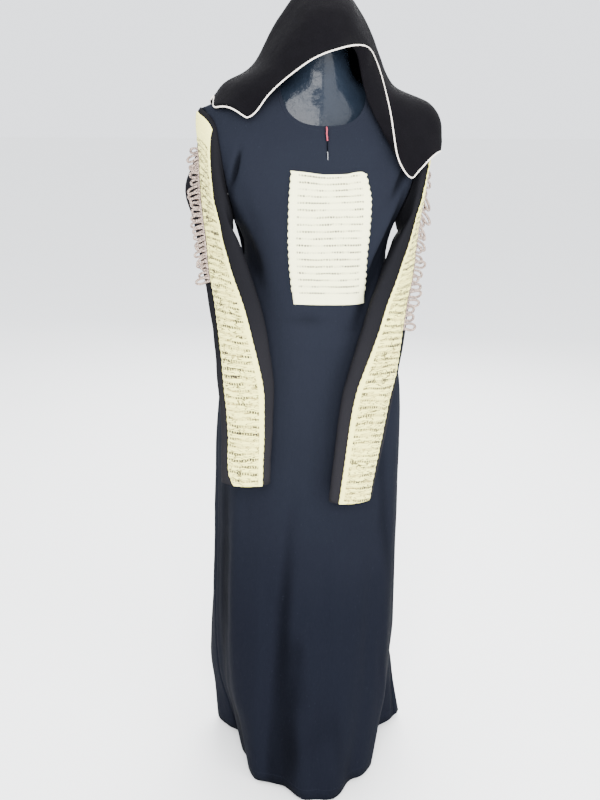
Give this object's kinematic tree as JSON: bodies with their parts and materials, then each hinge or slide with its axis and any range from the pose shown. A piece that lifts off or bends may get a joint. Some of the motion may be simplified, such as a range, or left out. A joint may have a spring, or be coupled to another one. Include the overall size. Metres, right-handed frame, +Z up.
{
  "type": "hooded kaftan on a dress form",
  "caption": "Floor-length black kaftan with ribbed cream panels, looped trim, long open sleeves and a matching piped hood, worn by a limbless dress form on a round base.",
  "frame": {"origin": "centre of the base's underside, on the floor below the form's pole", "axes": "+Z up along the pole, -Y towards the front of the garment, +X towards the wearer's left"},
  "size_m": [0.4608, 0.3941, 1.5814],
  "materials": {
    "black_cloth": "dull crepe",
    "hood_cloth": "matte plain cloth",
    "cream_cloth": "fine ribbed cloth",
    "ivory_cord": "satin cord",
    "red_cord": "satin cord",
    "form_plastic": "gloss",
    "form_metal": "satin"
  },
  "bodies": {
    "root": {"kaftan_front": "black_cloth", "kaftan_back": "black_cloth", "sleeve_left": "black_cloth", "sleeve_right": "black_cloth", "sleeve_panel_left": "cream_cloth", "sleeve_panel_right": "cream_cloth", "chest_panel": "cream_cloth", "loop_trim_left": "ivory_cord", "loop_trim_right": "ivory_cord", "neck_loop": "red_cord", "hood": "hood_cloth", "hood_piping": "ivory_cord", "form_torso": "form_plastic", "form_neck_cap": "form_plastic", "form_pole": "form_metal", "form_base": "form_metal"}
  },
  "joints": []
}
